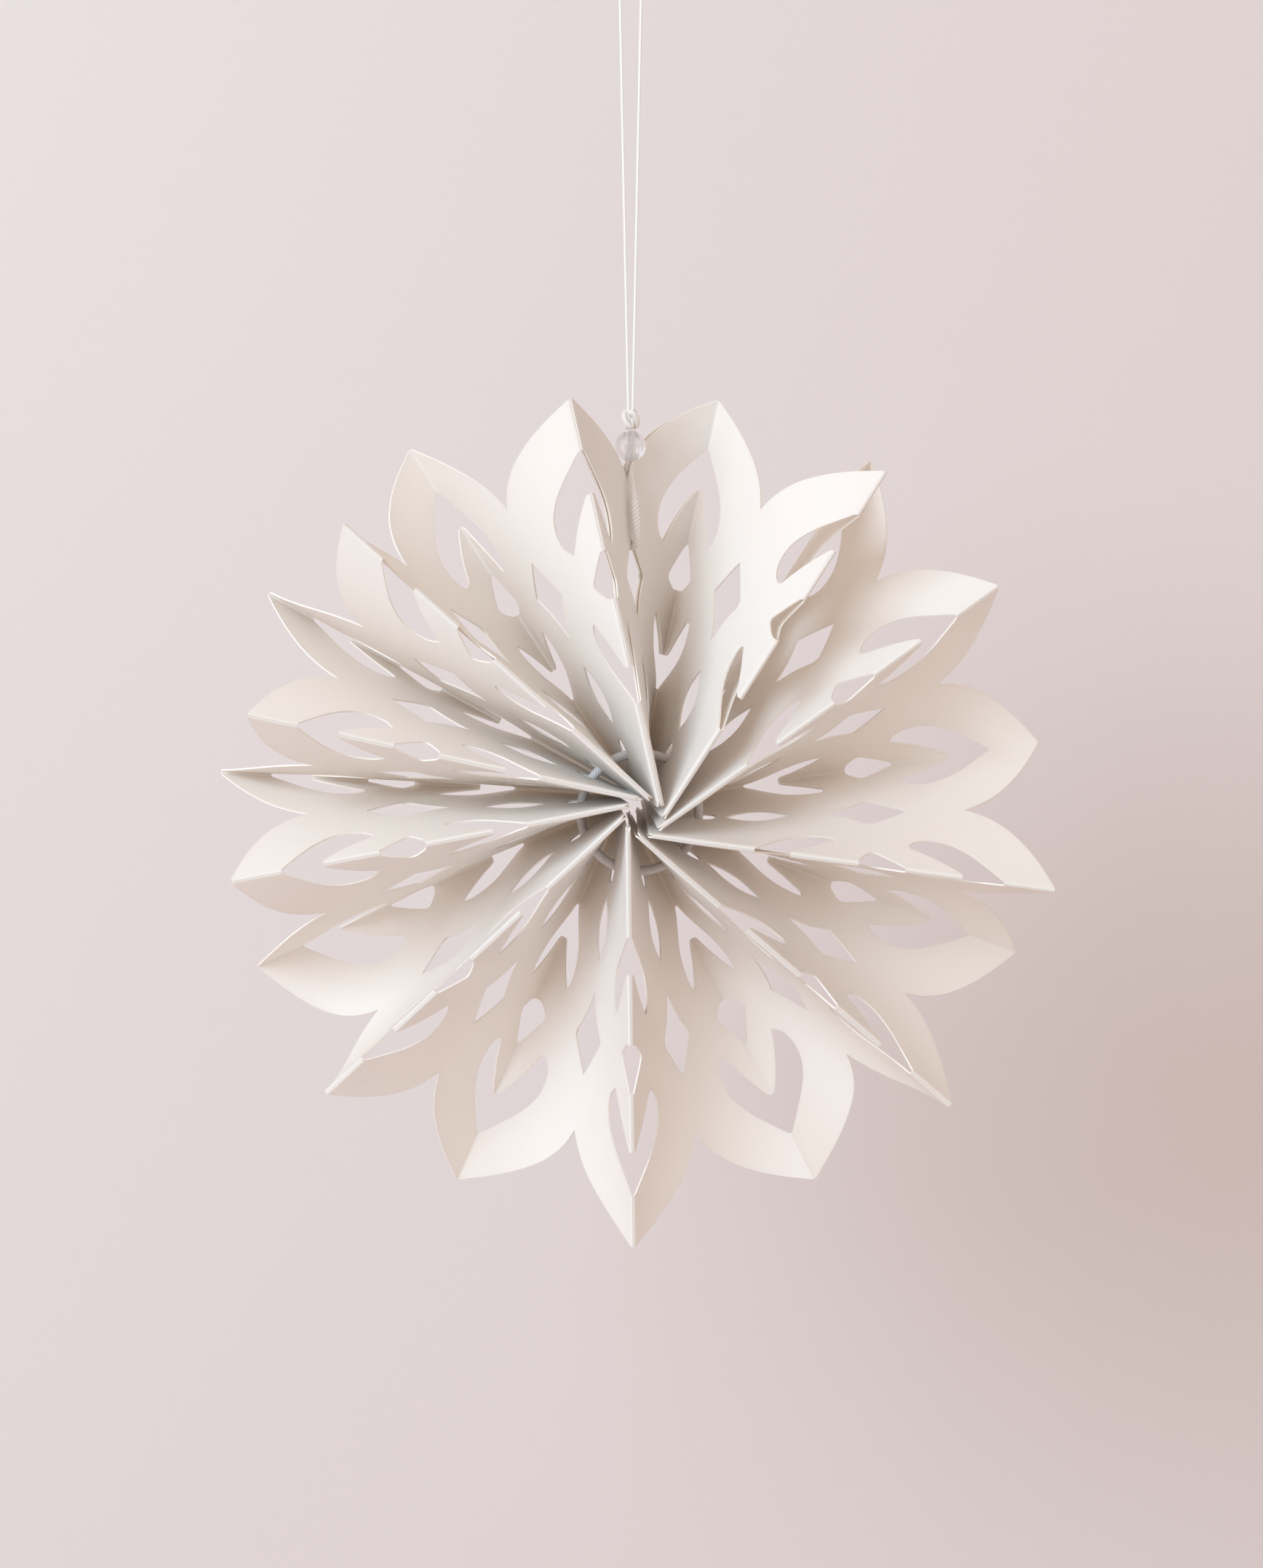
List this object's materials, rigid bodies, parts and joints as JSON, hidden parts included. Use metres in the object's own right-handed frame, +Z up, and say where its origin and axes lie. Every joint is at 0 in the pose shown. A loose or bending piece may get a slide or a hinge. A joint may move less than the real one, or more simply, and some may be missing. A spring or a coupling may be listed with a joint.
{
  "type": "paper snowflake ornament",
  "caption": "Pleated cut-paper rosette with pointed petals, pinched round an elastic ring, hanging from a thin cord loop with a knot and a glass bead.",
  "frame": {"origin": "where the hanging loop rests on what it hangs from", "axes": "+Z up along the hanging cord, -Y towards the viewer of the mountain folds, +X to the viewer's right"},
  "size_m": [0.2171, 0.0698, 0.3399],
  "materials": {
    "ivory_paper": "matt uncoated heavy paper",
    "silver_elastic": "braided silver-grey elastic cord",
    "satin_cord": "twisted satin cord",
    "clear_glass": "clear polished glass"
  },
  "bodies": {
    "hanging_side": {"hanging_loop": "satin_cord", "cord_knot": "satin_cord", "tie_loop": "satin_cord", "leaf_01": "ivory_paper", "elastic_ring": "silver_elastic"},
    "bead": {"glass_bead": "clear_glass"},
    "leaf_02": {"leaf_02": "ivory_paper"},
    "leaf_03": {"leaf_03": "ivory_paper"},
    "leaf_04": {"leaf_04": "ivory_paper"},
    "leaf_05": {"leaf_05": "ivory_paper"},
    "leaf_06": {"leaf_06": "ivory_paper"},
    "leaf_07": {"leaf_07": "ivory_paper"},
    "leaf_08": {"leaf_08": "ivory_paper"},
    "leaf_09": {"leaf_09": "ivory_paper"},
    "leaf_10": {"leaf_10": "ivory_paper"},
    "leaf_11": {"leaf_11": "ivory_paper"},
    "leaf_12": {"leaf_12": "ivory_paper"},
    "leaf_13": {"leaf_13": "ivory_paper"},
    "leaf_14": {"leaf_14": "ivory_paper"},
    "leaf_15": {"leaf_15": "ivory_paper"},
    "leaf_16": {"leaf_16": "ivory_paper"},
    "leaf_17": {"leaf_17": "ivory_paper"},
    "leaf_18": {"leaf_18": "ivory_paper"},
    "leaf_19": {"leaf_19": "ivory_paper"},
    "leaf_20": {"leaf_20": "ivory_paper"},
    "leaf_21": {"leaf_21": "ivory_paper"}
  },
  "joints": [
    {"name": "fold_01", "type": "hinge", "parent": "hanging_side", "child": "leaf_02", "pos_m": [0.0024, 0, -0.227], "axis": [0, -1, 0], "range_deg": [0, 16.8], "deforming": ["leaf_02"]},
    {"name": "fold_02", "type": "hinge", "parent": "leaf_02", "child": "leaf_03", "pos_m": [0.0024, 0, -0.227], "axis": [0, -1, 0], "range_deg": [-3.61, 0], "deforming": ["leaf_03"]},
    {"name": "fold_03", "type": "hinge", "parent": "leaf_03", "child": "leaf_04", "pos_m": [0.0024, 0, -0.227], "axis": [0, -1, 0], "range_deg": [0, 15.93], "deforming": ["leaf_04"]},
    {"name": "fold_04", "type": "hinge", "parent": "leaf_04", "child": "leaf_05", "pos_m": [0.0024, 0, -0.227], "axis": [0, -1, 0], "range_deg": [0, 19.54], "deforming": ["leaf_05"]},
    {"name": "fold_05", "type": "hinge", "parent": "leaf_05", "child": "leaf_06", "pos_m": [0.0024, 0, -0.227], "axis": [0, -1, 0], "range_deg": [0, 12.02], "deforming": ["leaf_06"]},
    {"name": "fold_06", "type": "hinge", "parent": "leaf_06", "child": "leaf_07", "pos_m": [0.0024, 0, -0.227], "axis": [0, -1, 0], "range_deg": [0, 7.11], "deforming": ["leaf_07"]},
    {"name": "fold_07", "type": "hinge", "parent": "leaf_07", "child": "leaf_08", "pos_m": [0.0024, 0, -0.227], "axis": [0, -1, 0], "range_deg": [0, 15.83], "deforming": ["leaf_08"]},
    {"name": "fold_08", "type": "hinge", "parent": "leaf_08", "child": "leaf_09", "pos_m": [0.0024, 0, -0.227], "axis": [0, -1, 0], "range_deg": [0, 15.63], "deforming": ["leaf_09"]},
    {"name": "fold_09", "type": "hinge", "parent": "leaf_09", "child": "leaf_10", "pos_m": [0.0024, 0, -0.227], "axis": [0, -1, 0], "range_deg": [0, 21.44], "deforming": ["leaf_10"]},
    {"name": "fold_10", "type": "hinge", "parent": "leaf_10", "child": "leaf_11", "pos_m": [0.0024, 0, -0.227], "axis": [0, -1, 0], "range_deg": [0, 18.34], "deforming": ["leaf_11"]},
    {"name": "fold_11", "type": "hinge", "parent": "leaf_11", "child": "leaf_12", "pos_m": [0.0024, 0, -0.227], "axis": [0, -1, 0], "range_deg": [0, 19.24], "deforming": ["leaf_12"]},
    {"name": "fold_12", "type": "hinge", "parent": "leaf_12", "child": "leaf_13", "pos_m": [0.0024, 0, -0.227], "axis": [0, -1, 0], "range_deg": [0, 12.12], "deforming": ["leaf_13"]},
    {"name": "fold_13", "type": "hinge", "parent": "leaf_13", "child": "leaf_14", "pos_m": [0.0024, 0, -0.227], "axis": [0, -1, 0], "range_deg": [0, 10.82], "deforming": ["leaf_14"]},
    {"name": "fold_14", "type": "hinge", "parent": "leaf_14", "child": "leaf_15", "pos_m": [0.0024, 0, -0.227], "axis": [0, -1, 0], "range_deg": [0, 5.71], "deforming": ["leaf_15"]},
    {"name": "fold_15", "type": "hinge", "parent": "leaf_15", "child": "leaf_16", "pos_m": [0.0024, 0, -0.227], "axis": [0, -1, 0], "range_deg": [0, 6.11], "deforming": ["leaf_16"]},
    {"name": "fold_16", "type": "hinge", "parent": "leaf_16", "child": "leaf_17", "pos_m": [0.0024, 0, -0.227], "axis": [0, -1, 0], "range_deg": [0, 8.32], "deforming": ["leaf_17"]},
    {"name": "fold_17", "type": "hinge", "parent": "leaf_17", "child": "leaf_18", "pos_m": [0.0024, 0, -0.227], "axis": [0, -1, 0], "range_deg": [0, 9.22], "deforming": ["leaf_18"]},
    {"name": "fold_18", "type": "hinge", "parent": "leaf_18", "child": "leaf_19", "pos_m": [0.0024, 0, -0.227], "axis": [0, -1, 0], "range_deg": [0, 7.21], "deforming": ["leaf_19"]},
    {"name": "fold_19", "type": "hinge", "parent": "leaf_19", "child": "leaf_20", "pos_m": [0.0024, 0, -0.227], "axis": [0, -1, 0], "range_deg": [0, 16.03], "deforming": ["leaf_20"]},
    {"name": "fold_20", "type": "hinge", "parent": "leaf_20", "child": "leaf_21", "pos_m": [0.0024, 0, -0.227], "axis": [0, -1, 0], "range_deg": [0, 16.63], "deforming": ["leaf_21"]},
    {"name": "bead_spin", "type": "hinge", "parent": "hanging_side", "child": "bead", "pos_m": [0, 0, -0.1317], "axis": [0, 0, 1], "continuous": true}
  ],
  "couplings": [
    {"joint": "fold_02", "follows": "fold_01", "ratio": -0.21429},
    {"joint": "fold_03", "follows": "fold_01", "ratio": 0.94643},
    {"joint": "fold_04", "follows": "fold_01", "ratio": 1.1607},
    {"joint": "fold_05", "follows": "fold_01", "ratio": 0.71429},
    {"joint": "fold_06", "follows": "fold_01", "ratio": 0.42262},
    {"joint": "fold_07", "follows": "fold_01", "ratio": 0.94048},
    {"joint": "fold_08", "follows": "fold_01", "ratio": 0.92857},
    {"joint": "fold_09", "follows": "fold_01", "ratio": 1.2738},
    {"joint": "fold_10", "follows": "fold_01", "ratio": 1.0893},
    {"joint": "fold_11", "follows": "fold_01", "ratio": 1.1429},
    {"joint": "fold_12", "follows": "fold_01", "ratio": 0.72024},
    {"joint": "fold_13", "follows": "fold_01", "ratio": 0.64286},
    {"joint": "fold_14", "follows": "fold_01", "ratio": 0.33929},
    {"joint": "fold_15", "follows": "fold_01", "ratio": 0.3631},
    {"joint": "fold_16", "follows": "fold_01", "ratio": 0.49405},
    {"joint": "fold_17", "follows": "fold_01", "ratio": 0.54762},
    {"joint": "fold_18", "follows": "fold_01", "ratio": 0.42857},
    {"joint": "fold_19", "follows": "fold_01", "ratio": 0.95238},
    {"joint": "fold_20", "follows": "fold_01", "ratio": 0.9881}
  ]
}
